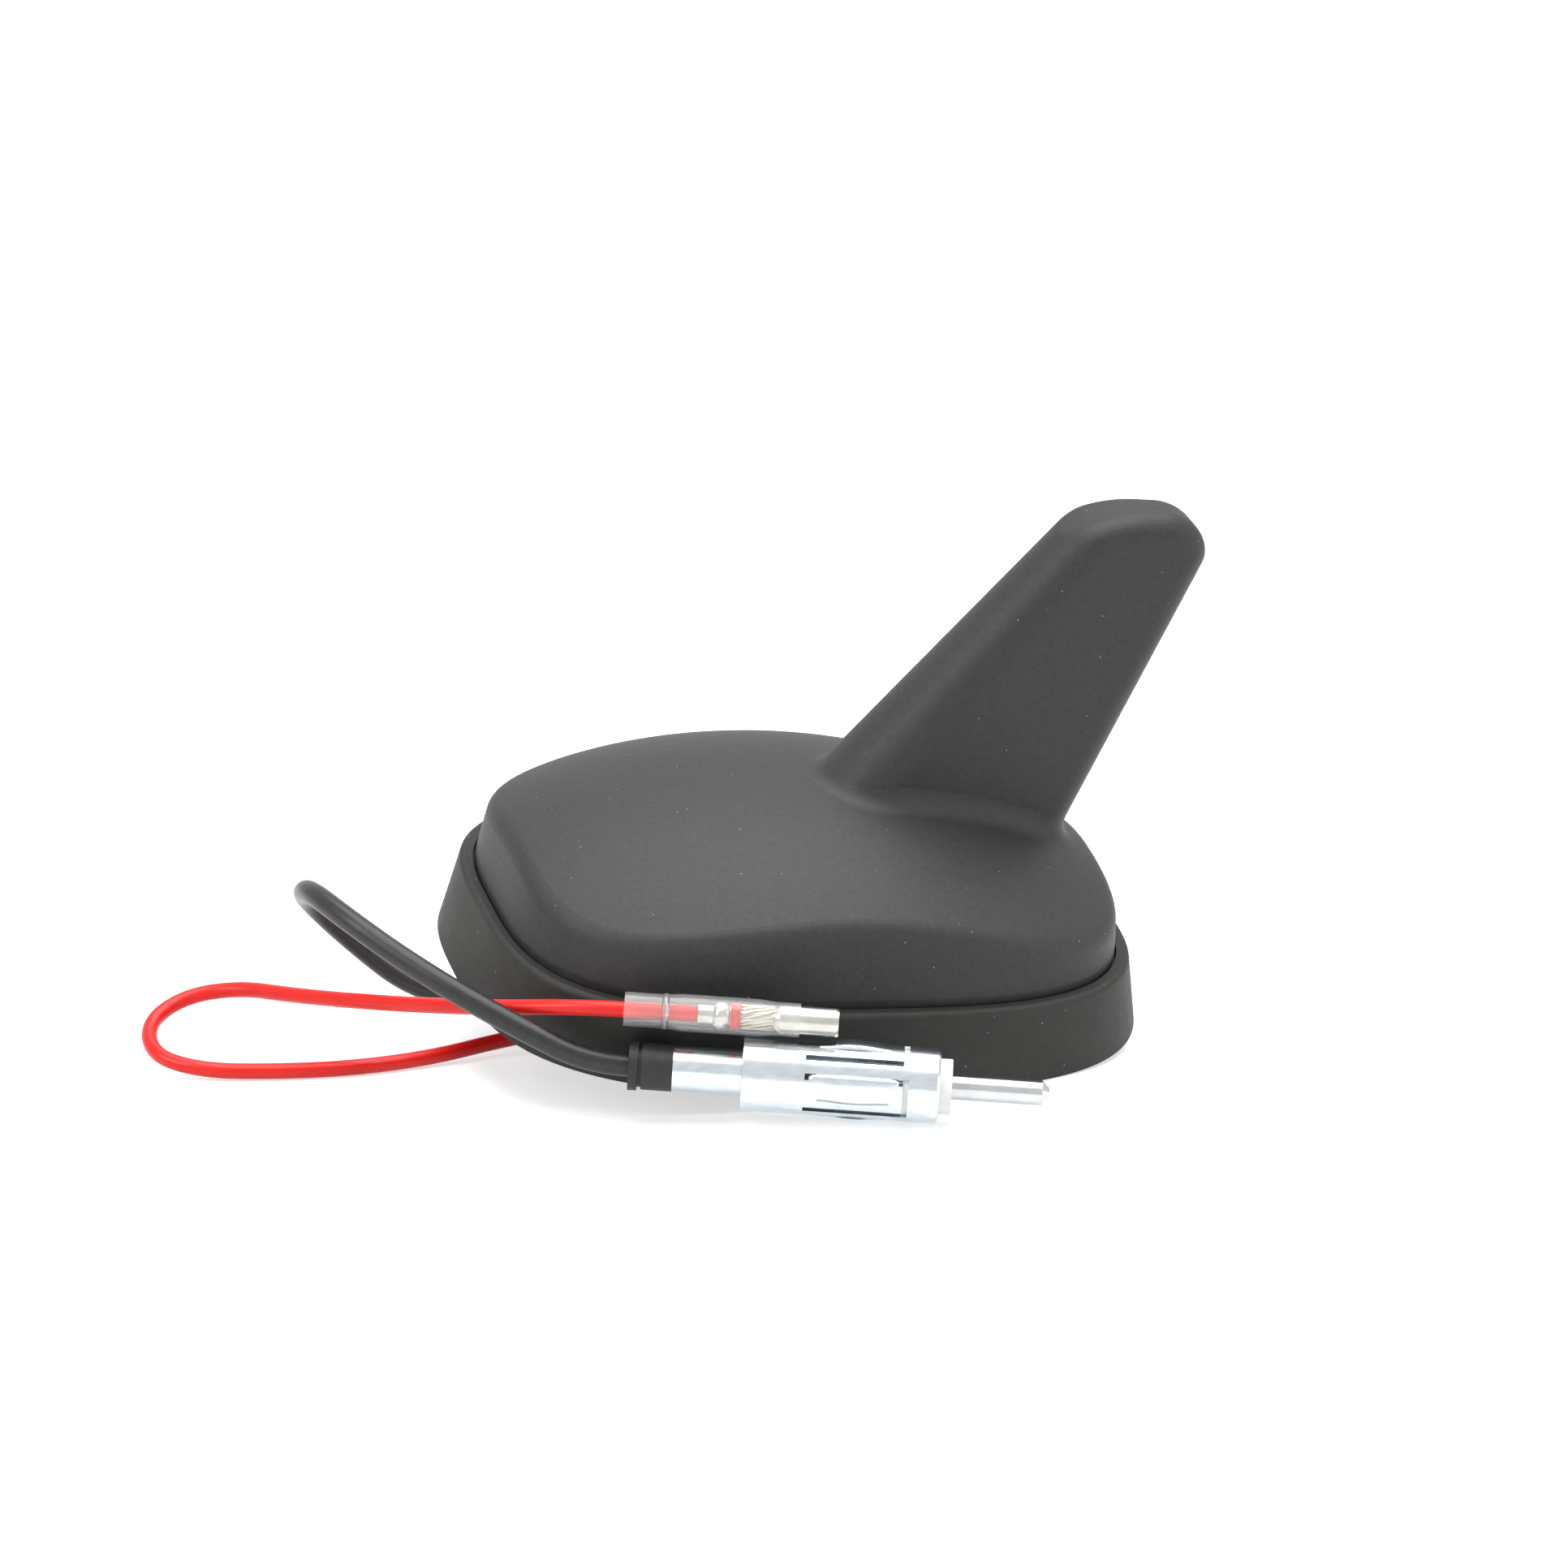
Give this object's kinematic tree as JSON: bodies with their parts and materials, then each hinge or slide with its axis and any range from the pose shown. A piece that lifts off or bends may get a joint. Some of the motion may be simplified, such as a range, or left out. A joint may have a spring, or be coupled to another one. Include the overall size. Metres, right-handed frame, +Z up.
{
  "type": "roof antenna",
  "caption": "Vehicle roof antenna with a swept fin cover on a rubber foot, a short aerial lead with a slotted plug and a power wire with a bullet receptacle.",
  "frame": {"origin": "centre of the thread in the foot's contact plane, which lies on the roof", "axes": "+X to the rear of the vehicle, the way the fin sweeps; +Y to its right; +Z up from the roof"},
  "size_m": [0.1282, 0.0817, 0.0801],
  "materials": {
    "cover_plastic": "fine-grained moulded black plastic",
    "foot_rubber": "matte black rubber",
    "plate_plastic": "glass-filled black plastic",
    "grommet_rubber": "matte black rubber",
    "insert_brass": "turned brass",
    "board_laminate": "green solder mask",
    "tinned_steel": "tinned sheet",
    "screw_steel": "zinc-plated steel",
    "coax_jacket": "satin black jacket",
    "red_insulation": "satin red insulation",
    "boot_rubber": "matte black rubber",
    "bright_plating": "bright zinc plating",
    "white_insulator": "white moulded plastic",
    "pin_plating": "bright nickel plating",
    "clear_sleeve": "clear flexible plastic",
    "tinned_brass": "tinned brass"
  },
  "bodies": {
    "root": {"fin_cover": "cover_plastic", "base_gasket": "foot_rubber", "base_plate": "plate_plastic", "cable_grommet": "grommet_rubber", "thread_insert": "insert_brass", "circuit_board": "board_laminate", "shield_can": "tinned_steel", "element_board": "board_laminate", "cover_screws": "screw_steel", "board_screws": "screw_steel", "inner_leads": "coax_jacket", "coax_cable": "coax_jacket", "power_wire": "red_insulation", "plug_boot": "boot_rubber", "plug_barrel": "bright_plating", "plug_insulator": "white_insulator", "plug_pin": "pin_plating", "bullet_sleeve": "clear_sleeve", "bullet_receptacle": "tinned_brass"}
  },
  "joints": []
}
